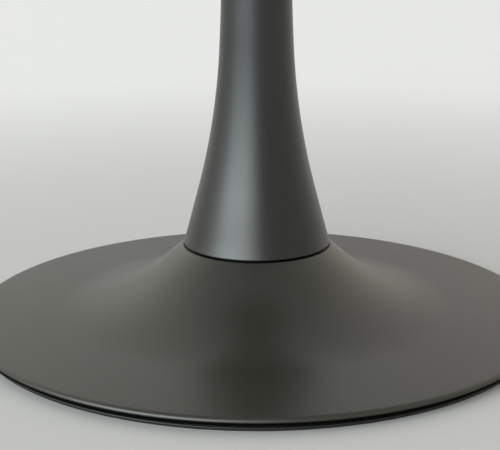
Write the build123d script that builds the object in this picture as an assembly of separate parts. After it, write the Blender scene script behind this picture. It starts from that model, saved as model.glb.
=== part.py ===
from build123d import *
from math import acos, cos, degrees, radians, sin, tan
import os

# A flared pedestal table base: a spun trumpet column clamped onto a wide spun foot by one tie rod.
# Millimetres and degrees, +Z up, origin on the floor under the axis.

overall_height = 720.0

# Foot shell, spun from sheet, with a rolled bead at its edge and a sunken ledge inside its neck
foot_radius = 300.0
foot_wall = 2.0
bead_radius = 4.25
bead_height = 10.45
bead_curl = 262.0
skirt_angle = 3.0
flank_angle = 40.5
flank_blend = 185.0
neck_radius = 78.0
neck_height = 82.5
neck_bore = 40.0
shoulder_bend = 2.6
well_depth = 6.5
well_bend = 2.0

# Floor ring, pushed up inside the bead
ring_lip_height = 3.5
ring_lip_inset = 6.5
ring_lip_draft = 1.0
ring_lip_round = 1.0
ring_wall = 4.6
ring_foot_width = 9.5

# Cast ballast under the foot shell
ballast_inset = 60.0
ballast_underside = 6.0
ballast_round = 2.0
hub_radius = 36.0
hub_draft = 3.0
crown_inset = 14.0
crown_thickness = 8.0
rib_count = 6
rib_thickness = 9.0
rib_reach = 140.0
rib_toe = 6.0
rib_root = 3.0

# Seam between the neck and the column, held open by a ring that stands back in the neck's well
seam_gap = 1.8
seat_ring_inset = 13.0
seat_ring_width = 20.0

# Column, a spun trumpet: a cone, a quick curve, a slow curve to the waist and a flare to the head
column_foot_radius = 77.0
column_wall = 2.0
column_edge_round = 0.7
cone_angle = 15.6
cone_height = 51.5
throat_radius = 700.0
throat_angle = 2.85
waist_curve = 2740.0
head_radius = 52.0
trim_allowance = 4.0

# Discs welded inside the column's two ends
foot_disc_thickness = 5.0
foot_disc_recess = 1.5
head_disc_thickness = 3.0
head_disc_recess = 10.0

# Top plate with its threaded boss
plate_radius = 160.0
plate_thickness = 6.0
plate_edge_round = 1.5
boss_radius = 19.0
boss_depth = 42.0
boss_chamfer = 1.5
screw_count = 6
screw_circle = 280.0
screw_hole = 8.5

# Tie rod and its clamp, standard M16 sizes
rod_diameter = 16.0
rod_chamfer = 1.5
rod_foot_height = 9.7
rod_show = 3.0
rod_head_gap = 4.0
washer_diameter = 50.0
washer_thickness = 3.0
spring_washer_diameter = 27.4
spring_washer_thickness = 3.5
spring_washer_slit = 2.5
spring_washer_lean = 25.0
nut_height = 14.8
nut_across_flats = 24.0
nut_sides = 6
nut_chamfer_angle = 30.0
pocket_margin = 2.0

# Clearances
thread_clearance = 0.1
rod_clearance = 0.5
weld_clearance = 0.1
ring_clearance = 0.1
ballast_clearance = 0.3
boss_clearance = 0.3

# Places that follow from the sizes above
rod_radius = rod_diameter / 2
seat_height = neck_height - well_depth
plate_underside = overall_height - plate_thickness
column_foot_height = neck_height + seam_gap
foot_disc_underside = column_foot_height + foot_disc_recess
head_disc_top = plate_underside - head_disc_recess
bead_centre = foot_radius - bead_radius
ballast_radius = foot_radius - ballast_inset
crown_radius = neck_radius - crown_inset
seat_ring_radius = column_foot_radius - seat_ring_inset
nut_foot = rod_foot_height + rod_show
spring_washer_foot = nut_foot + nut_height
washer_foot = spring_washer_foot + spring_washer_thickness
pocket_ceiling = washer_foot + washer_thickness
pocket_radius = washer_diameter / 2 + pocket_margin


def trace(start, heading, stretches, inset):
    # The line of a spun sheet's outer face, as tangent straights and arcs; inset moves it to its right
    point = Vector(*start) + Vector(0, -inset).rotate(Axis.Z, heading)
    edges = []
    for size, turn in stretches:
        ahead = Vector(1, 0).rotate(Axis.Z, heading)
        if turn == 0:
            edge = Line(point, point + ahead * size)
        else:
            side = 1 if turn > 0 else -1
            edge = JernArc(point, ahead, size + side * inset, turn)
        edges.append(edge)
        point = edge @ 1
        heading = heading + turn
    return edges


def sheet_section(start, heading, stretches, wall):
    # The closed section of a sheet between its outer face and the parallel line one wall inside it
    outer = trace(start, heading, stretches, 0)
    inner = trace(start, heading, stretches, wall)
    near_end = Line(outer[0] @ 0, inner[0] @ 0)
    far_end = Line(outer[-1] @ 1, inner[-1] @ 1)
    return make_face(outer + inner + [near_end, far_end])


def turned(section):
    # A section drawn as radius and height, turned about the axis
    return revolve(Plane.XZ * section, Axis.Z, 360)


def turned_outline(*points):
    return turned(make_face(Polyline(*points, close=True)))


def ring(inner_radius, outer_radius, foot, height):
    section = Pos((inner_radius + outer_radius) / 2, foot + height / 2) * Rectangle(
        outer_radius - inner_radius, height)
    return turned(section)


def round_edges(solid, radius, at_radius, at_height):
    # Rounds the full circles of a turned piece that lie at one radius and height
    chosen = [
        edge for edge in solid.edges().filter_by(GeomType.CIRCLE)
        if abs(edge.radius - at_radius) < 0.01 and abs(edge.center().Z - at_height) < 0.01
    ]
    return fillet(chosen, radius)


def skirt_height(radius):
    # Height of the skirt's upper face, which runs into the top of the bead
    bead_top = bead_height + bead_radius * cos(radians(skirt_angle))
    bead_top_radius = bead_centre + bead_radius * sin(radians(skirt_angle))
    return bead_top + (bead_top_radius - radius) * tan(radians(skirt_angle))


def skirt_underside(radius):
    return skirt_height(radius) - foot_wall / cos(radians(skirt_angle))


def foot_stretches():
    # Ledge, well, shoulder, straight flank, long blend, straight skirt and rolled bead, from the neck outwards
    flank_fall = tan(radians(flank_angle))
    skirt_fall = tan(radians(skirt_angle))
    corner_radius = neck_radius + (neck_height - skirt_height(neck_radius)) / (flank_fall - skirt_fall)
    flank_length = (corner_radius - neck_radius) / cos(radians(flank_angle))
    bead_top_radius = bead_centre + bead_radius * sin(radians(skirt_angle))
    skirt_length = (bead_top_radius - corner_radius) / cos(radians(skirt_angle))
    blend_turn = flank_angle - skirt_angle
    shoulder_tangent = shoulder_bend * tan(radians(flank_angle / 2))
    blend_tangent = flank_blend * tan(radians(blend_turn / 2))
    well_radius = neck_radius - shoulder_tangent - shoulder_bend
    return [
        (well_radius - well_bend - neck_bore, 0),
        (well_bend, 90),
        (well_depth - well_bend - shoulder_bend, 0),
        (shoulder_bend, -90 - flank_angle),
        (flank_length - shoulder_tangent - blend_tangent, 0),
        (flank_blend, blend_turn),
        (skirt_length - blend_tangent, 0),
        (bead_radius, -bead_curl),
    ]


def foot_shell():
    return turned(sheet_section((neck_bore, seat_height), 0, foot_stretches(), foot_wall))


def floor_ring():
    # A lip on the floor and an upright wall that stands against the bead and carries the skirt
    lip_top = foot_radius - ring_lip_inset
    lip_foot = lip_top - ring_lip_draft
    wall_outer = bead_centre - bead_radius - ring_clearance
    wall_inner = wall_outer - ring_wall
    ring_inner = lip_top - ring_foot_width
    body = turned_outline(
        (ring_inner, 0),
        (lip_foot, 0),
        (lip_top, ring_lip_height),
        (wall_outer, ring_lip_height),
        (wall_outer, skirt_underside(wall_outer) - ring_clearance),
        (wall_inner, skirt_underside(wall_inner) - ring_clearance),
        (wall_inner, ring_lip_height),
        (ring_inner, ring_lip_height),
    )
    body = round_edges(body, ring_lip_round, lip_foot, 0)
    return round_edges(body, ring_lip_round, lip_top, ring_lip_height)


def ballast():
    # A flat iron plate with a central hub, whose crown and ribs hold the neck's ledge up
    plate_top = skirt_underside(ballast_radius) - ballast_clearance
    crown_top = seat_height - foot_wall
    crown_foot = crown_top - crown_thickness
    hub_top_radius = hub_radius - (crown_foot - plate_top) * tan(radians(hub_draft))
    body = turned_outline(
        (rod_radius + rod_clearance, pocket_ceiling),
        (pocket_radius, pocket_ceiling),
        (pocket_radius, ballast_underside),
        (ballast_radius, ballast_underside),
        (ballast_radius, plate_top),
        (hub_radius, plate_top),
        (hub_top_radius, crown_foot),
        (crown_radius, crown_foot),
        (crown_radius, crown_top),
        (rod_radius + rod_clearance, crown_top),
    )
    body = round_edges(body, ballast_round, ballast_radius, ballast_underside)
    rib = make_face(Polyline(
        (hub_top_radius - rib_root, plate_top - rib_root),
        (rib_reach, plate_top - rib_root),
        (rib_reach, plate_top + rib_toe),
        (crown_radius - rib_root, crown_foot + rib_root),
        (hub_top_radius - rib_root, crown_foot + rib_root),
        close=True))
    rib = extrude(Plane.XZ * rib, rib_thickness / 2, both=True)
    for turn in range(rib_count):
        body += Rot(Z=360 * turn / rib_count) * rib
    return body


def seat_ring():
    thickness = foot_disc_underside - seat_height
    return ring(seat_ring_radius - seat_ring_width, seat_ring_radius, seat_height, thickness)


def waist():
    # Radius and height of the column's narrowest place, at the end of the slow curve
    foot_slope = radians(cone_angle)
    throat_slope = radians(throat_angle)
    height = column_foot_height + cone_height
    height += throat_radius * (sin(foot_slope) - sin(throat_slope))
    height += waist_curve * sin(throat_slope)
    radius = column_foot_radius - cone_height * tan(foot_slope)
    radius -= throat_radius * (cos(throat_slope) - cos(foot_slope))
    radius -= waist_curve * (1 - cos(throat_slope))
    return radius, height


def column_stretches():
    # From just below the foot to just above the head, so that both ends can be trimmed square
    slope = radians(cone_angle)
    waist_radius, waist_height = waist()
    rise = plate_underside - waist_height
    spread = head_radius - waist_radius
    flare_radius = (rise ** 2 + spread ** 2) / (2 * spread)
    flare_turn = degrees(acos(1 - spread / flare_radius) + trim_allowance / flare_radius)
    return [
        (trim_allowance + cone_height / cos(slope), 0),
        (throat_radius, throat_angle - cone_angle),
        (waist_curve, -throat_angle),
        (flare_radius, -flare_turn),
    ]


def column_start():
    slope = radians(cone_angle)
    start_radius = column_foot_radius + trim_allowance * sin(slope)
    start_height = column_foot_height - trim_allowance * cos(slope)
    return start_radius, start_height


def trimmed(solid, foot, head):
    above_foot = split(solid, Plane.XY.offset(foot), keep=Keep.TOP)
    return split(above_foot, Plane.XY.offset(head), keep=Keep.BOTTOM)


def column_shell():
    section = sheet_section(column_start(), 90 + cone_angle, column_stretches(), -column_wall)
    shell = trimmed(turned(section), column_foot_height, plate_underside)
    return round_edges(shell, column_edge_round, column_foot_radius, column_foot_height)


def column_core():
    # The space inside the column, less the weld clearance, from which its two discs are sliced
    line = trace(column_start(), 90 + cone_angle, column_stretches(), -column_wall - weld_clearance)
    foot = line[0] @ 0
    head = line[-1] @ 1
    axis_line = Polyline((foot.X, foot.Y), (0, foot.Y), (0, head.Y), (head.X, head.Y))
    return turned(make_face(line + [axis_line]))


def disc_in_column(foot, thickness, bore_radius):
    disc = trimmed(column_core(), foot, foot + thickness)
    bore = Pos(0, 0, foot + thickness / 2) * Cylinder(bore_radius, 2 * thickness)
    return disc - bore


def foot_disc():
    return disc_in_column(foot_disc_underside, foot_disc_thickness, rod_radius + rod_clearance)


def head_disc():
    foot = head_disc_top - head_disc_thickness
    return disc_in_column(foot, head_disc_thickness, boss_radius + boss_clearance)


def top_plate():
    bore_radius = rod_radius + thread_clearance
    boss_foot = plate_underside - boss_depth
    plate = ring(bore_radius, plate_radius, plate_underside, plate_thickness)
    plate += ring(bore_radius, boss_radius, boss_foot, boss_depth)
    plate = round_edges(plate, plate_edge_round, plate_radius, overall_height)
    plate = round_edges(plate, plate_edge_round, plate_radius, plate_underside)
    lowest_circles = plate.edges().filter_by(GeomType.CIRCLE).group_by(Axis.Z)[0]
    plate = chamfer(lowest_circles.sort_by(SortBy.RADIUS)[-1], boss_chamfer)
    middle = plate_underside + plate_thickness / 2
    hole = Cylinder(screw_hole / 2, 2 * plate_thickness)
    for place in PolarLocations(screw_circle / 2, screw_count):
        plate -= Pos(0, 0, middle) * place * hole
    return plate


def tie_rod():
    length = overall_height - rod_head_gap - rod_foot_height
    rod = Pos(0, 0, rod_foot_height + length / 2) * Cylinder(rod_radius, length)
    return chamfer(rod.edges().filter_by(GeomType.CIRCLE), rod_chamfer)


def clamp_washer():
    return ring(rod_radius + rod_clearance, washer_diameter / 2, washer_foot, washer_thickness)


def spring_washer():
    # A split ring, its slit leaning across the section
    inner_radius = rod_radius + rod_clearance / 2
    outer_radius = spring_washer_diameter / 2
    body = ring(inner_radius, outer_radius, spring_washer_foot, spring_washer_thickness)
    middle = Pos((inner_radius + outer_radius) / 2, 0, spring_washer_foot + spring_washer_thickness / 2)
    slit = Box(2 * (outer_radius - inner_radius), spring_washer_slit, 3 * spring_washer_thickness)
    return body - middle * Rot(X=spring_washer_lean) * slit


def clamp_nut():
    # A hexagon with its corners turned off at both faces
    across_corners = nut_across_flats / cos(radians(180 / nut_sides))
    corner_fall = (across_corners - nut_across_flats) / 2 * tan(radians(nut_chamfer_angle))
    hexagon = extrude(Pos(0, 0, nut_foot) * RegularPolygon(across_corners / 2, nut_sides), nut_height)
    limit = turned_outline(
        (rod_radius + thread_clearance, nut_foot),
        (nut_across_flats / 2, nut_foot),
        (across_corners / 2, nut_foot + corner_fall),
        (across_corners / 2, nut_foot + nut_height - corner_fall),
        (nut_across_flats / 2, nut_foot + nut_height),
        (rod_radius + thread_clearance, nut_foot + nut_height),
    )
    return hexagon & limit


pieces = {
    "foot_shell": foot_shell,
    "floor_ring": floor_ring,
    "ballast": ballast,
    "seat_ring": seat_ring,
    "column_shell": column_shell,
    "column_foot_disc": foot_disc,
    "column_head_disc": head_disc,
    "top_plate": top_plate,
    "tie_rod": tie_rod,
    "clamp_washer": clamp_washer,
    "spring_washer": spring_washer,
    "clamp_nut": clamp_nut,
}

os.makedirs("parts", exist_ok=True)
for name, make in pieces.items():
    export_step(make(), f"parts/{name}.step")
    print(name)
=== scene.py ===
import bpy
import bmesh
import math
from mathutils import Matrix, Vector


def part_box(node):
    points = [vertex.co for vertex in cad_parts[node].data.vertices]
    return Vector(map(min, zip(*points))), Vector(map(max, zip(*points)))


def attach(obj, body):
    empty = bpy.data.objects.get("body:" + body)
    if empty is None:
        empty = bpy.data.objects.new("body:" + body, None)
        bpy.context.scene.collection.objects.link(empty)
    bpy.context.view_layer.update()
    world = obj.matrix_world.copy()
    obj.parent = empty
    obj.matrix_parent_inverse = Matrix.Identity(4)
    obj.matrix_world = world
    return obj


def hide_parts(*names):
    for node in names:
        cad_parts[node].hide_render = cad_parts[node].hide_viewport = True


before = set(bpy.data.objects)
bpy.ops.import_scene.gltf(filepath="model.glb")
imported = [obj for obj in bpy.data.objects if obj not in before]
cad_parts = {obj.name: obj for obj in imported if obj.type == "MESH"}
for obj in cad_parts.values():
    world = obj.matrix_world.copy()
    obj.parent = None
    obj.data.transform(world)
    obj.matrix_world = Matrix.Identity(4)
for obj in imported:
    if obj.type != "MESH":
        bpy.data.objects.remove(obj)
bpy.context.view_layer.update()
scene = bpy.context.scene
mergeReach = 1e-6  # points closer than this become one
print("frame loaded:", len(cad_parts), "nodes")


# a shader socket that takes + and *, each adding its Math node
class Wire:
    def __init__(self, sheet, socket):
        self.sheet = sheet
        self.socket = socket

    def math(self, operation, first, second):
        return self.sheet.node("ShaderNodeMath", {"operation": operation}, {0: first, 1: second})

    def __add__(self, other):
        return self.math("ADD", self, other)

    def __radd__(self, other):
        return self.math("ADD", other, self)

    def __mul__(self, other):
        return self.math("MULTIPLY", self, other)

    def __rmul__(self, other):
        return self.math("MULTIPLY", other, self)


# a node tree, and the one method that adds a node to it
class Sheet:
    def __init__(self, tree):
        self.tree = tree

    def node(self, kind, settings=None, sockets=None, output=0):
        made = self.tree.nodes.new(kind)
        for name, value in (settings or {}).items():
            setattr(made, name, value)
        for name, value in (sockets or {}).items():
            self.feed(made.inputs[name], value)
        return Wire(self, made.outputs[output])

    def feed(self, socket, value):
        if isinstance(value, Wire):
            self.tree.links.new(value.socket, socket)
        else:
            socket.default_value = value


def startFinish(name, look):
    material = bpy.data.materials.new(name)
    material.use_nodes = True
    shader = material.node_tree.nodes["Principled BSDF"]
    shader.inputs["Metallic"].default_value = look.get("metallic", 0.0)
    shader.inputs["IOR"].default_value = look.get("ior", 1.5)
    return material, Sheet(material.node_tree), shader


def objectPlace(sheet):
    return sheet.node("ShaderNodeTexCoord", output="Object")


# distance from the axis, height and turn, scaled so that a noise runs round a piece in lines
def turnedPlace(sheet, across, along):
    place = objectPlace(sheet)
    x = sheet.node("ShaderNodeSeparateXYZ", None, {0: place}, "X")
    y = sheet.node("ShaderNodeSeparateXYZ", None, {0: place}, "Y")
    z = sheet.node("ShaderNodeSeparateXYZ", None, {0: place}, "Z")
    reach = sheet.node("ShaderNodeMath", {"operation": "SQRT"}, {0: x * x + y * y})
    swing = sheet.node("ShaderNodeMath", {"operation": "ARCTAN2"}, {0: y, 1: x})
    return sheet.node("ShaderNodeCombineXYZ", None,
                      {"X": reach * across, "Y": z * across, "Z": swing * along})


def noise(sheet, place, scale, detail=2.0, roughness=0.5):
    return sheet.node("ShaderNodeTexNoise", None,
                      {"Vector": place, "Scale": scale, "Detail": detail, "Roughness": roughness})


def bump(sheet, height, depth, under=None):
    sockets = {"Strength": 1.0, "Distance": depth, "Height": height}
    if under is not None:
        sockets["Normal"] = under
    return sheet.node("ShaderNodeBump", None, sockets)


def blend(sheet, factor, first, second, way="MIX"):
    return sheet.node("ShaderNodeMix", {"data_type": "RGBA", "blend_type": way},
                      {0: factor, 6: first, 7: second}, 2)


# 0 up to low and 1 from high on, with a soft rise between
def smoothRange(sheet, value, low, high):
    return sheet.node("ShaderNodeMapRange", {"interpolation_type": "SMOOTHSTEP"},
                      {"Value": value, "From Min": low, "From Max": high})


coatLook = {
    "colour": (0.0045, 0.0046, 0.0043, 1.0),
    "paler": (0.0070, 0.0070, 0.0065, 1.0),
    "ior": 1.55,
    "roughness": 0.33,
    "roughnessSpread": 0.06,
    "patchScale": 9.0,
    "peelScale": 700.0,
    "peelDepth": 0.000016,
    "lineScale": 900.0,
    "lineTurn": 0.6,
    "lineDepth": 0.000005,
}


def makeCoat(name, look):
    material, sheet, shader = startFinish(name, look)
    place = objectPlace(sheet)
    patches = noise(sheet, place, look["patchScale"], detail=4.0, roughness=0.6)
    sheet.feed(shader.inputs["Base Color"], blend(sheet, patches, look["colour"], look["paler"]))
    sheet.feed(shader.inputs["Roughness"], patches * look["roughnessSpread"] + look["roughness"])
    peel = noise(sheet, place, look["peelScale"])
    lines = noise(sheet, turnedPlace(sheet, look["lineScale"], look["lineTurn"]), 1.0, detail=1.0)
    relief = bump(sheet, lines, look["lineDepth"], bump(sheet, peel, look["peelDepth"]))
    sheet.feed(shader.inputs["Normal"], relief)
    return material


# painted light: the foot's copy of the same black coat is a touch warmer and paler than the
# column's, standing in for the warmer light on the foot
paintedLightFootLook = {
    **coatLook,
    "colour": (0.0145, 0.0141, 0.0102, 1.0),
    "paler": (0.0170, 0.0165, 0.0124, 1.0),
}
# painted shade: a matt, nearly black coat for the bead's underside, laid between these heights
paintedShadeUnderLook = {
    "shade": (0.0015, 0.0015, 0.0014, 1.0),
    "roughness": 0.8,
    "ior": 1.08,
    "below": 0.0100,
    "above": 0.0114,
}


# painted shade: the coat of the foot goes matt and nearly black where the bead rolls under,
# standing in for the shade there
def makeFootCoatWithPaintedShade(name, look, under):
    material = makeCoat(name, look)
    sheet = Sheet(material.node_tree)
    nodes = material.node_tree.nodes
    height = sheet.node("ShaderNodeSeparateXYZ", None, {0: objectPlace(sheet)}, "Z")
    above = smoothRange(sheet, height, under["below"], under["above"])
    # painted shade: the matt black shader that stands in for the shade under the bead
    matt = sheet.node("ShaderNodeBsdfPrincipled", None, {
        "Base Color": under["shade"],
        "Roughness": under["roughness"],
        "IOR": under["ior"],
    })
    glossy = Wire(sheet, nodes["Principled BSDF"].outputs[0])
    mixed = sheet.node("ShaderNodeMixShader", None, {0: above, 1: matt, 2: glossy})
    sheet.feed(nodes["Material Output"].inputs["Surface"], mixed)
    return material


rubberLook = {
    "colour": (0.005, 0.005, 0.005, 1.0),
    "paler": (0.010, 0.0095, 0.009, 1.0),
    "roughness": 0.42,
    "roughnessSpread": 0.15,
    "scuffScale": 60.0,
    "grainScale": 1500.0,
    "grainDepth": 0.00003,
}


def makeRubber(name, look):
    material, sheet, shader = startFinish(name, look)
    place = objectPlace(sheet)
    scuffs = noise(sheet, place, look["scuffScale"], detail=4.0, roughness=0.6)
    sheet.feed(shader.inputs["Base Color"], blend(sheet, scuffs, look["colour"], look["paler"]))
    sheet.feed(shader.inputs["Roughness"], scuffs * look["roughnessSpread"] + look["roughness"])
    grain = noise(sheet, place, look["grainScale"])
    sheet.feed(shader.inputs["Normal"], bump(sheet, grain, look["grainDepth"]))
    return material


ironLook = {
    "colour": (0.055, 0.052, 0.048, 1.0),
    "paler": (0.11, 0.10, 0.09, 1.0),
    "roughness": 0.7,
    "roughnessSpread": 0.2,
    "patchScale": 18.0,
    "sandScale": 420.0,
    "sandDepth": 0.0005,
}


def makeIron(name, look):
    material, sheet, shader = startFinish(name, look)
    place = objectPlace(sheet)
    patches = noise(sheet, place, look["patchScale"], detail=6.0, roughness=0.65)
    sheet.feed(shader.inputs["Base Color"], blend(sheet, patches, look["colour"], look["paler"]))
    sheet.feed(shader.inputs["Roughness"], patches * look["roughnessSpread"] + look["roughness"])
    sand = noise(sheet, place, look["sandScale"], detail=4.0, roughness=0.7)
    sheet.feed(shader.inputs["Normal"], bump(sheet, sand, look["sandDepth"]))
    return material


zincLook = {
    "colour": (0.56, 0.57, 0.58, 1.0),
    "paler": (0.68, 0.68, 0.66, 1.0),
    "metallic": 1.0,
    "roughness": 0.28,
    "roughnessSpread": 0.18,
    "patchScale": 120.0,
    "lineScale": 4000.0,
    "lineTurn": 0.8,
    "lineDepth": 0.000012,
}


def makeZinc(name, look):
    material, sheet, shader = startFinish(name, look)
    place = objectPlace(sheet)
    patches = noise(sheet, place, look["patchScale"], detail=4.0, roughness=0.6)
    sheet.feed(shader.inputs["Base Color"], blend(sheet, patches, look["colour"], look["paler"]))
    sheet.feed(shader.inputs["Roughness"], patches * look["roughnessSpread"] + look["roughness"])
    lines = noise(sheet, turnedPlace(sheet, look["lineScale"], look["lineTurn"]), 1.0, detail=1.0)
    sheet.feed(shader.inputs["Normal"], bump(sheet, lines, look["lineDepth"]))
    return material


blackCoat = makeCoat("blackCoat", coatLook)
# the foot's coat holds painted light (a paler, warmer copy of the coat) and painted shade (black
# under the bead)
footCoatPaintedLightAndShade = makeFootCoatWithPaintedShade("footCoatPaintedLightAndShade", paintedLightFootLook, paintedShadeUnderLook)
blackRubber = makeRubber("blackRubber", rubberLook)
castIron = makeIron("castIron", ironLook)
zincSteel = makeZinc("zincSteel", zincLook)
print("finishes made")


# walks along tangent straights and arcs, each (size, turn, steps),
# and gives the face and the line that lies one wall to its right
def walkSheet(start, heading, stretches, wall):
    radius, height = start
    angle = math.radians(heading)
    samples = [(radius, height, angle)]
    for size, turn, steps in stretches:
        bend = math.radians(turn) / steps
        length = 2 * size * math.sin(abs(bend) / 2) if turn else size / steps
        for step in range(steps):
            radius += length * math.cos(angle + bend / 2)
            height += length * math.sin(angle + bend / 2)
            angle += bend
            samples.append((radius, height, angle))
    face = [(r, z) for r, z, a in samples]
    back = [(r + wall * math.sin(a), z - wall * math.cos(a)) for r, z, a in samples]
    return face, back


# replaces each corner (radius, height, rounding) by an arc
def roundCorners(corners, steps=5):
    outline = []
    for index, (radius, height, rounding) in enumerate(corners):
        here = Vector((radius, height))
        if rounding == 0:
            outline.append((radius, height))
            continue
        before = (Vector(corners[index - 1][:2]) - here).normalized()
        after = (Vector(corners[(index + 1) % len(corners)][:2]) - here).normalized()
        half = before.angle(after) / 2
        middle = here + (before + after).normalized() * rounding / math.sin(half)
        first = here + before * rounding / math.tan(half) - middle
        last = here + after * rounding / math.tan(half) - middle
        turn = math.atan2(first.x * last.y - first.y * last.x, first.dot(last))
        for step in range(steps + 1):
            angle = turn * step / steps
            arm = Matrix.Rotation(angle, 2) @ first
            outline.append((middle.x + arm.x, middle.y + arm.y))
    return outline


def putTogether(name, mesh, node, material, sharp=35.0):
    bm = bmesh.new()
    bm.from_mesh(mesh)
    bmesh.ops.remove_doubles(bm, verts=bm.verts, dist=mergeReach)
    bmesh.ops.recalc_face_normals(bm, faces=bm.faces)
    bm.to_mesh(mesh)
    bm.free()
    mesh.shade_smooth()
    mesh.set_sharp_from_angle(angle=math.radians(sharp))
    piece = bpy.data.objects.new(name, mesh)
    scene.collection.objects.link(piece)
    mesh.materials.append(material)
    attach(piece, "root")
    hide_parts(node)
    print("made", name, len(mesh.polygons), "faces")


# turns an outline of (radius, height) about the axis; outlineAt gives the outline at an angle
def turnOutline(name, outlineAt, segments, closed=True):
    verts = []
    faces = []
    for turn in range(segments):
        angle = 2 * math.pi * turn / segments
        outline = outlineAt(angle)
        count = len(outline)
        verts += [(r * math.cos(angle), r * math.sin(angle), z) for r, z in outline]
        for point in range(count if closed else count - 1):
            following = (point + 1) % count
            here = turn * count
            there = (turn + 1) % segments * count
            faces.append((here + point, there + point, there + following, here + following))
    mesh = bpy.data.meshes.new(name)
    mesh.from_pydata(verts, [], faces)
    return mesh


def lathe(name, outline, segments):
    return turnOutline(name, lambda angle: outline, segments)


# joins a mesh with another by a boolean, and gives the joined mesh
def joinMesh(mesh, other, operation):
    body = bpy.data.objects.new("body", mesh)
    tool = bpy.data.objects.new("tool", other)
    scene.collection.objects.link(body)
    scene.collection.objects.link(tool)
    cut = body.modifiers.new("cut", "BOOLEAN")
    cut.operation = operation
    cut.solver = "EXACT"
    cut.object = tool
    scene.view_layers[0].update()
    evaluated = body.evaluated_get(bpy.context.evaluated_depsgraph_get())
    joined = bpy.data.meshes.new_from_object(evaluated)
    bpy.data.objects.remove(body)
    bpy.data.objects.remove(tool)
    return joined


# a flat outline of (radius, height), as thick as given, standing at an angle about the axis
def ribMesh(outline, thickness, angle):
    swing = Matrix.Rotation(angle, 3, "Z")
    verts = [swing @ Vector((r, side, z)) for side in (-thickness / 2, thickness / 2)
             for r, z in outline]
    count = len(outline)
    faces = [tuple(range(count))[::-1], tuple(range(count, 2 * count))]
    for point in range(count):
        following = (point + 1) % count
        faces.append((point, following, count + following, count + point))
    mesh = bpy.data.meshes.new("rib")
    mesh.from_pydata(verts, [], faces)
    return mesh


# a turned tool whose outline starts and ends on the axis, moved to a place
def drillMesh(profile, place, segments=40):
    bm = bmesh.new()
    line = [bm.verts.new((r, 0, z)) for r, z in profile]
    edges = [bm.edges.new(pair) for pair in zip(line, line[1:])]
    bmesh.ops.spin(bm, geom=line + edges, axis=(0, 0, 1), cent=(0, 0, 0),
                   steps=segments, angle=2 * math.pi)
    bmesh.ops.remove_doubles(bm, verts=bm.verts, dist=mergeReach)
    bmesh.ops.recalc_face_normals(bm, faces=bm.faces)
    bmesh.ops.translate(bm, verts=bm.verts, vec=place)
    mesh = bpy.data.meshes.new("drill")
    bm.to_mesh(mesh)
    bm.free()
    return mesh


# Foot shell
footShape = {
    "radius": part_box("foot_shell")[1][0],
    "wall": 0.002,
    "neckHeight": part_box("foot_shell")[1][2],
    "neckRadius": 0.078,
    "neckBore": 0.040,
    "shoulderBend": 0.0026,
    "wellDepth": 0.0065,
    "wellBend": 0.002,
    "flankAngle": 40.5,
    "flankBlend": 0.185,
    "skirtAngle": 3.0,
    "beadRadius": 0.00425,
    "beadCurl": 262.0,
    "segments": 288,
}
footShape["beadHeight"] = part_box("foot_shell")[0][2] + footShape["beadRadius"]


def skirtTop(shape, radius):
    lean = math.radians(shape["skirtAngle"])
    crestRadius = shape["radius"] - shape["beadRadius"] + shape["beadRadius"] * math.sin(lean)
    crest = shape["beadHeight"] + shape["beadRadius"] * math.cos(lean)
    return crest + (crestRadius - radius) * math.tan(lean), crestRadius


def makeFootShell(shape):
    flank = math.radians(shape["flankAngle"])
    skirt = math.radians(shape["skirtAngle"])
    skirtAtNeck, crestRadius = skirtTop(shape, shape["neckRadius"])
    fall = shape["neckHeight"] - skirtAtNeck
    cornerRadius = shape["neckRadius"] + fall / (math.tan(flank) - math.tan(skirt))
    turn = shape["flankAngle"] - shape["skirtAngle"]
    shoulder = shape["shoulderBend"] * math.tan(flank / 2)
    blendReach = shape["flankBlend"] * math.tan(math.radians(turn / 2))
    flankLength = (cornerRadius - shape["neckRadius"]) / math.cos(flank) - shoulder - blendReach
    skirtLength = (crestRadius - cornerRadius) / math.cos(skirt) - blendReach
    wellRadius = shape["neckRadius"] - shoulder - shape["shoulderBend"]
    stretches = [
        (wellRadius - shape["wellBend"] - shape["neckBore"], 0, 3),
        (shape["wellBend"], 90, 6),
        (shape["wellDepth"] - shape["wellBend"] - shape["shoulderBend"], 0, 1),
        (shape["shoulderBend"], -90 - shape["flankAngle"], 16),
        (flankLength, 0, 4),
        (shape["flankBlend"], turn, 44),
        (skirtLength, 0, 10),
        (shape["beadRadius"], -shape["beadCurl"], 40),
    ]
    start = (shape["neckBore"], shape["neckHeight"] - shape["wellDepth"])
    face, back = walkSheet(start, 0, stretches, shape["wall"])
    mesh = lathe("footShell", face + back[::-1], shape["segments"])
    putTogether("footShell", mesh, "foot_shell", footCoatPaintedLightAndShade)


makeFootShell(footShape)

# Column
columnShape = {
    "footHeight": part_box("column_shell")[0][2],
    "headHeight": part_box("column_shell")[1][2],
    "footRadius": 0.077,
    "headRadius": 0.052,
    "wall": 0.002,
    "footAngle": 18.3,
    "footCurve": 0.3625,
    "coneAngle": 15.0,
    "coneHeight": 0.03857,
    "throatRadius": 0.700,
    "throatAngle": 2.85,
    "waistCurve": 2.740,
    "edgeRound": 0.0007,
    "segments": 192,
}


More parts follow.
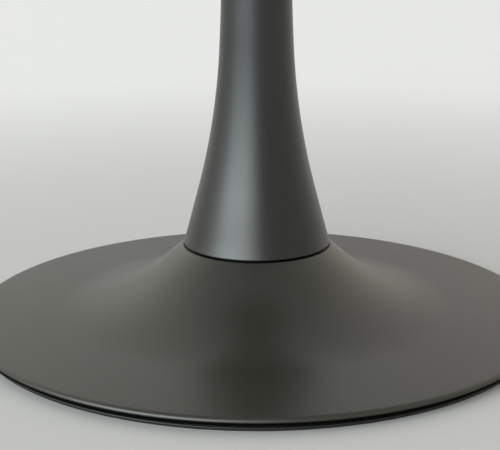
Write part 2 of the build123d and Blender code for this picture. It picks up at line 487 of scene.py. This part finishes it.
def makeColumnShell(shape):
    foot = math.radians(shape["footAngle"])
    cone = math.radians(shape["coneAngle"])
    throat = math.radians(shape["throatAngle"])
    waistHeight = (shape["footHeight"] + shape["coneHeight"]
                   + shape["footCurve"] * (math.sin(foot) - math.sin(cone))
                   + shape["throatRadius"] * (math.sin(cone) - math.sin(throat))
                   + shape["waistCurve"] * math.sin(throat))
    waistRadius = (shape["footRadius"] - shape["coneHeight"] * math.tan(cone)
                   - shape["footCurve"] * (math.cos(cone) - math.cos(foot))
                   - shape["throatRadius"] * (math.cos(throat) - math.cos(cone))
                   - shape["waistCurve"] * (1 - math.cos(throat)))
    rise = shape["headHeight"] - waistHeight
    spread = shape["headRadius"] - waistRadius
    flare = (rise ** 2 + spread ** 2) / (2 * spread)
    flareTurn = math.degrees(math.acos(1 - spread / flare))
    stretches = [
        (shape["footCurve"], shape["coneAngle"] - shape["footAngle"], 10),
        (shape["coneHeight"] / math.cos(cone), 0, 4),
        (shape["throatRadius"], shape["throatAngle"] - shape["coneAngle"], 30),
        (shape["waistCurve"], -shape["throatAngle"], 12),
        (flare, -flareTurn, 24),
    ]
    start = (shape["footRadius"], shape["footHeight"])
    face, back = walkSheet(start, 90 + shape["footAngle"], stretches, -shape["wall"])
    headAngle = math.radians(flareTurn)
    back[0] = (face[0][0] - shape["wall"] / math.cos(foot), shape["footHeight"])
    back[-1] = (face[-1][0] - shape["wall"] / math.cos(headAngle), shape["headHeight"])
    corners = [(r, z, 0) for r, z in face + back[::-1]]
    corners[0] = (*face[0], shape["edgeRound"])
    corners[-1] = (*back[0], shape["edgeRound"] / 2)
    mesh = lathe("columnShell", roundCorners(corners), shape["segments"])
    putTogether("columnShell", mesh, "column_shell", blackCoat)


makeColumnShell(columnShape)

# Seat ring in the shadow gap
seatShape = {
    "inner": 0.044,
    "outer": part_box("seat_ring")[1][0],
    "round": 0.0004,
    "segments": 128,
}


def makeSeatRing(shape):
    foot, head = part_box("seat_ring")[0][2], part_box("seat_ring")[1][2]
    corners = [
        (shape["inner"], foot, shape["round"]),
        (shape["outer"], foot, shape["round"]),
        (shape["outer"], head, shape["round"]),
        (shape["inner"], head, shape["round"]),
    ]
    mesh = lathe("seatRing", roundCorners(corners, steps=3), shape["segments"])
    putTogether("seatRing", mesh, "seat_ring", blackCoat)


makeSeatRing(seatShape)

# Floor ring
ringShape = {
    "lipHeight": 0.0035,
    "lipInset": 0.0065,
    "lipDraft": 0.001,
    "lipRound": 0.001,
    "wall": 0.0046,
    "footWidth": 0.0095,
    "heelRound": 0.0005,
    "wallRound": 0.0004,
    "clearance": 0.0001,
    "segments": 288,
}


def makeFloorRing(shape, foot):
    def ceiling(radius):
        return skirtTop(foot, radius)[0] - foot["wall"] / math.cos(math.radians(foot["skirtAngle"]))

    lipTop = foot["radius"] - shape["lipInset"]
    outer = foot["radius"] - 2 * foot["beadRadius"] - shape["clearance"]
    inner = outer - shape["wall"]
    heel = lipTop - shape["footWidth"]
    corners = [
        (heel, 0.0, shape["heelRound"]),
        (lipTop - shape["lipDraft"], 0.0, shape["lipRound"]),
        (lipTop, shape["lipHeight"], shape["lipRound"]),
        (outer, shape["lipHeight"], shape["heelRound"]),
        (outer, ceiling(outer) - shape["clearance"], shape["wallRound"]),
        (inner, ceiling(inner) - shape["clearance"], shape["wallRound"]),
        (inner, shape["lipHeight"], shape["heelRound"]),
        (heel, shape["lipHeight"], shape["heelRound"]),
    ]
    mesh = lathe("floorRing", roundCorners(corners), shape["segments"])
    putTogether("floorRing", mesh, "floor_ring", blackRubber)


makeFloorRing(ringShape, footShape)

# Ballast
ballastShape = {
    "radius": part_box("ballast")[1][0],
    "underside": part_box("ballast")[0][2],
    "crownTop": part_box("ballast")[1][2],
    "bore": 0.0085,
    "pocket": 0.027,
    "pocketCeiling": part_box("clamp_washer")[1][2],
    "hubRadius": 0.036,
    "hubDraft": 3.0,
    "crownRadius": 0.064,
    "crownThickness": 0.008,
    "gap": 0.0003,
    "ribCount": 6,
    "ribThickness": 0.009,
    "ribReach": 0.140,
    "ribToe": 0.006,
    "ribRoot": 0.003,
    "boreRound": 0.0006,
    "softEdge": 0.0018,
    "segments": 160,
}


def makeBallast(shape, foot):
    lean = math.radians(foot["skirtAngle"])
    top = skirtTop(foot, shape["radius"])[0] - foot["wall"] / math.cos(lean) - shape["gap"]
    crownFoot = shape["crownTop"] - shape["crownThickness"]
    hubTop = shape["hubRadius"] - (crownFoot - top) * math.tan(math.radians(shape["hubDraft"]))
    soft = shape["softEdge"]
    corners = [
        (shape["bore"], shape["pocketCeiling"], shape["boreRound"]),
        (shape["pocket"], shape["pocketCeiling"], soft),
        (shape["pocket"], shape["underside"], soft),
        (shape["radius"], shape["underside"], soft),
        (shape["radius"], top, soft),
        (shape["hubRadius"], top, 3 * soft),
        (hubTop, crownFoot, 2 * soft),
        (shape["crownRadius"], crownFoot, soft),
        (shape["crownRadius"], shape["crownTop"], soft / 2),
        (shape["bore"], shape["crownTop"], shape["boreRound"]),
    ]
    mesh = lathe("ballastPlate", roundCorners(corners, steps=6), shape["segments"])
    root = shape["ribRoot"]
    rib = [
        (hubTop - root, top - root),
        (shape["ribReach"], top - root),
        (shape["ribReach"], top + shape["ribToe"]),
        (shape["crownRadius"] - root, crownFoot + root),
        (hubTop - root, crownFoot + root),
    ]
    for turn in range(shape["ribCount"]):
        angle = 2 * math.pi * turn / shape["ribCount"]
        mesh = joinMesh(mesh, ribMesh(rib, shape["ribThickness"], angle), "UNION")
    putTogether("ballastPlate", mesh, "ballast", castIron)


makeBallast(ballastShape, footShape)

# Top plate
plateShape = {
    "radius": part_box("top_plate")[1][0],
    "top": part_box("top_plate")[1][2],
    "bossFoot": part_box("top_plate")[0][2],
    "thickness": 0.006,
    "bore": 0.0081,
    "boreRound": 0.0004,
    "bossRadius": 0.019,
    "bossChamfer": 0.0015,
    "edgeRound": 0.0015,
    "screwCount": 6,
    "screwCircle": 0.280,
    "screwHole": 0.0085,
    "screwLead": 0.0003,
    "drillExtra": 0.001,
    "segments": 192,
}


def makeTopPlate(shape):
    underside = shape["top"] - shape["thickness"]
    corners = [
        (shape["bore"], shape["bossFoot"], shape["boreRound"]),
        (shape["bossRadius"] - shape["bossChamfer"], shape["bossFoot"], 0),
        (shape["bossRadius"], shape["bossFoot"] + shape["bossChamfer"], 0),
        (shape["bossRadius"], underside, 0),
        (shape["radius"], underside, shape["edgeRound"]),
        (shape["radius"], shape["top"], shape["edgeRound"]),
        (shape["bore"], shape["top"], shape["boreRound"]),
    ]
    mesh = lathe("topPlate", roundCorners(corners, steps=6), shape["segments"])
    holeRadius = shape["screwHole"] / 2
    lead, extra = shape["screwLead"], shape["drillExtra"]
    profile = [
        (0.0, underside - extra),
        (holeRadius + lead + extra, underside - extra),
        (holeRadius, underside + lead),
        (holeRadius, shape["top"] - lead),
        (holeRadius + lead + extra, shape["top"] + extra),
        (0.0, shape["top"] + extra),
    ]
    for turn in range(shape["screwCount"]):
        angle = 2 * math.pi * turn / shape["screwCount"]
        place = Vector((math.cos(angle), math.sin(angle), 0)) * shape["screwCircle"] / 2
        mesh = joinMesh(mesh, drillMesh(profile, place), "DIFFERENCE")
    putTogether("topPlate", mesh, "top_plate", blackCoat)


makeTopPlate(plateShape)

# Thread of the rod, M16 by 2
threadShape = {
    "outer": 0.008,
    "depth": 0.0011,
    "pitch": 0.002,
    "flat": 0.125,
    "segments": 40,
}


# how far the groove of a thread cuts in at a place along it, from 0 at the crest to 1 at the root
def grooveDepth(shape, turns):
    wave = abs(2 * (turns % 1.0) - 1)
    return min(1.0, max(0.0, (1 - wave - shape["flat"]) / (1 - 2 * shape["flat"])))


# Tie rod
rodShape = {
    "foot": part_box("tie_rod")[0][2],
    "head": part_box("tie_rod")[1][2],
    "chamfer": 0.0015,
    "footThread": 0.060,
    "headThread": 0.050,
    "step": 0.00025,
    "plainStep": 0.02,
}


def makeTieRod(shape, thread):
    plainFoot = shape["foot"] + shape["footThread"]
    plainHead = shape["head"] - shape["headThread"]
    levels = []
    height = shape["foot"]
    while height < shape["head"] - shape["step"] / 2:
        levels.append(height)
        plain = plainFoot < height < plainHead - shape["plainStep"]
        height += shape["plainStep"] if plain else shape["step"]
    levels.append(shape["head"])

    def reach(angle, height):
        fade = max(0.0, min(1.0, (plainFoot - height) / thread["pitch"]))
        fade = max(fade, min(1.0, (height - plainHead) / thread["pitch"]))
        turns = height / thread["pitch"] - angle / (2 * math.pi)
        cut = thread["depth"] * fade * grooveDepth(thread, turns)
        end = min(height - shape["foot"], shape["head"] - height)
        return min(thread["outer"] - cut, thread["outer"] - shape["chamfer"] + end)

    def outline(angle):
        return [(0.0, shape["foot"]), *((reach(angle, z), z) for z in levels), (0.0, shape["head"])]

    mesh = turnOutline("tieRod", outline, thread["segments"], closed=False)
    putTogether("tieRod", mesh, "tie_rod", zincSteel)


makeTieRod(rodShape, threadShape)

# Clamp nut
nutShape = {
    "foot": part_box("clamp_nut")[0][2],
    "head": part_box("clamp_nut")[1][2],
    "acrossFlats": 0.024,
    "sides": 6,
    "chamferAngle": 30.0,
    "bore": 0.0081,
    "countersink": 0.0009,
    "faceInset": 0.0004,
    "edgeRise": 0.0002,
    "segments": 180,
}


def makeClampNut(shape):
    flat = shape["acrossFlats"] / 2
    slope = math.tan(math.radians(shape["chamferAngle"]))
    sink = shape["countersink"]
    half = math.pi / shape["sides"]

    def outline(angle):
        side = flat / math.cos((angle + half) % (2 * half) - half)
        fall = (side - flat) * slope + shape["edgeRise"]
        return [
            (flat - shape["faceInset"], shape["foot"]),
            (side, shape["foot"] + fall),
            (side, shape["head"] - fall),
            (flat - shape["faceInset"], shape["head"]),
            (shape["bore"] + sink, shape["head"]),
            (shape["bore"], shape["head"] - sink),
            (shape["bore"], shape["foot"] + sink),
            (shape["bore"] + sink, shape["foot"]),
        ]

    mesh = turnOutline("clampNut", outline, shape["segments"])
    putTogether("clampNut", mesh, "clamp_nut", zincSteel, sharp=25.0)


makeClampNut(nutShape)

# Washers
washerShape = {
    "inner": 0.0085,
    "outer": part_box("clamp_washer")[1][0],
    "round": 0.0004,
    "segments": 96,
}
springShape = {
    "inner": 0.00825,
    "outer": 0.0137,
    "round": 0.0004,
    "slit": 0.0025,
    "lean": 25.0,
    "segments": 96,
}


def washerOutline(node, inner, outer, rounding):
    foot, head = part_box(node)[0][2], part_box(node)[1][2]
    corners = [(inner, foot), (outer, foot), (outer, head), (inner, head)]
    return roundCorners([(r, z, rounding) for r, z in corners], steps=3)


def makeClampWasher(shape):
    outline = washerOutline("clamp_washer", shape["inner"], shape["outer"], shape["round"])
    mesh = lathe("clampWasher", outline, shape["segments"])
    putTogether("clampWasher", mesh, "clamp_washer", zincSteel)


# the slit leans, so the ends of the split ring are sheared along its height
def makeSpringWasher(shape):
    outline = washerOutline("spring_washer", shape["inner"], shape["outer"], shape["round"])
    middle = (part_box("spring_washer")[0][2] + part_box("spring_washer")[1][2]) / 2
    lean = math.radians(shape["lean"])
    halfSlit = shape["slit"] / math.cos(lean) / 2
    verts = []
    faces = []
    count = len(outline)
    for step in range(shape["segments"] + 1):
        for r, z in outline:
            shear = (z - middle) * math.tan(lean)
            start = math.asin((halfSlit - shear) / r)
            end = 2 * math.pi - math.asin((halfSlit + shear) / r)
            angle = start + (end - start) * step / shape["segments"]
            verts.append((r * math.cos(angle), r * math.sin(angle), z))
    for step in range(shape["segments"]):
        for point in range(count):
            following = (point + 1) % count
            here = step * count
            there = here + count
            faces.append((here + point, there + point, there + following, here + following))
    faces.append(tuple(range(count)))
    faces.append(tuple(range(shape["segments"] * count, (shape["segments"] + 1) * count))[::-1])
    mesh = bpy.data.meshes.new("springWasher")
    mesh.from_pydata(verts, [], faces)
    putTogether("springWasher", mesh, "spring_washer", zincSteel)


makeClampWasher(washerShape)
makeSpringWasher(springShape)

# the welded discs inside the column stay as in the frame, with the coat
for node in ("column_foot_disc", "column_head_disc"):
    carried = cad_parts[node]
    carried.data.materials.clear()
    carried.data.materials.append(blackCoat)
print("frame nodes finished")


# Floor and sky
floorLook = {
    "reach": 60.0,
    "segments": 96,
    "near": (0.50, 0.497, 0.505, 1.0),
    "far": (0.74, 0.737, 0.765, 1.0),
    "nearReach": 0.35,
    "farReach": 1.9,
    "roughness": 0.7,
}


def makeFloor(look):
    mesh = bpy.data.meshes.new("studioFloor")
    bm = bmesh.new()
    bmesh.ops.create_circle(bm, cap_ends=True, segments=look["segments"], radius=look["reach"])
    bm.to_mesh(mesh)
    bm.free()
    floor = bpy.data.objects.new("studioFloor", mesh)
    scene.collection.objects.link(floor)
    material, sheet, shader = startFinish("studioFloor", look)
    place = objectPlace(sheet)
    away = sheet.node("ShaderNodeVectorMath", {"operation": "LENGTH"}, {0: place}, "Value")
    spread = smoothRange(sheet, away, look["nearReach"], look["farReach"])
    sheet.feed(shader.inputs["Base Color"], blend(sheet, spread, look["near"], look["far"]))
    shader.inputs["Roughness"].default_value = look["roughness"]
    mesh.materials.append(material)


makeFloor(floorLook)

# soft glows far off, each with its degrees right of the front and above the floor,
# the degrees that it spreads, and its colour
skyLook = {
    "base": (0.50, 0.50, 0.50, 1.0),
    "strength": 1.0,
    "glows": [
        (-88, 9, 18, (0.84, 0.97, 0.92)),
        (-58, 9, 18, (2.27, 2.66, 3.15)),
        (-28, 9, 18, (2.13, 2.71, 3.09)),
        (-73, 22, 18, (2.48, 2.20, 2.04)),
        (-58, 22, 18, (3.82, 4.23, 3.96)),
        (-43, 22, 18, (5.72, 6.33, 5.99)),
        (-28, 22, 18, (3.58, 3.59, 3.51)),
        (-13, 22, 18, (4.36, 4.82, 4.48)),
        (85, 5, 36, (0.09, 0.08, 0.05)),
        (145, 5, 36, (0.33, 0.27, 0.16)),
        (-155, 5, 36, (0.15, 0.14, 0.13)),
        (-125, 5, 36, (0.13, 0.13, 0.06)),
        (55, 32, 36, (0.16, 0.12, 0.02)),
        (115, 32, 36, (0.35, 0.33, 0.21)),
        (145, 32, 36, (0.27, 0.25, 0.26)),
        (-155, 32, 36, (0.30, 0.32, 0.25)),
        (-125, 32, 36, (0.52, 0.51, 0.46)),
    ],
}


def makeSky(look):
    world = bpy.data.worlds.new("studioSky")
    scene.world = world
    world.use_nodes = True
    sheet = Sheet(world.node_tree)
    way = sheet.node("ShaderNodeTexCoord", output="Generated")
    light = look["base"]
    for side, up, spread, colour in look["glows"]:
        turn, rise = math.radians(side), math.radians(up)
        centre = (math.sin(turn) * math.cos(rise), -math.cos(turn) * math.cos(rise), math.sin(rise))
        nearness = sheet.node("ShaderNodeVectorMath", {"operation": "DOT_PRODUCT"},
                              {0: way, 1: centre}, "Value")
        glow = smoothRange(sheet, nearness, math.cos(math.radians(spread)), 1.0)
        light = blend(sheet, glow, light, (*colour, 1.0), "ADD")
    background = world.node_tree.nodes["Background"]
    sheet.feed(background.inputs["Color"], light)
    background.inputs["Strength"].default_value = look["strength"]


makeSky(skyLook)
print("floor and sky set")

# Camera
cameraSettings = {
    "place": (0.0, -1.2192, 0.4243),
    "down": 14.838,
    "turn": 0.333,
    "roll": -0.12,
    "sensor": 36.0,
    "lens": 86.4,
}


def makeCamera(settings):
    data = bpy.data.cameras.new("photoCamera")
    data.sensor_width = settings["sensor"]
    data.lens = settings["lens"]
    camera = bpy.data.objects.new("photoCamera", data)
    camera.location = settings["place"]
    tilt = Matrix.Rotation(math.radians(90 - settings["down"]), 3, "X")
    swing = Matrix.Rotation(math.radians(settings["turn"]), 3, "Z")
    roll = Matrix.Rotation(math.radians(settings["roll"]), 3, "Z")
    camera.rotation_euler = (swing @ tilt @ roll).to_euler()
    scene.collection.objects.link(camera)
    scene.camera = camera


makeCamera(cameraSettings)
scene.view_settings.view_transform = "Standard"
print("camera set")
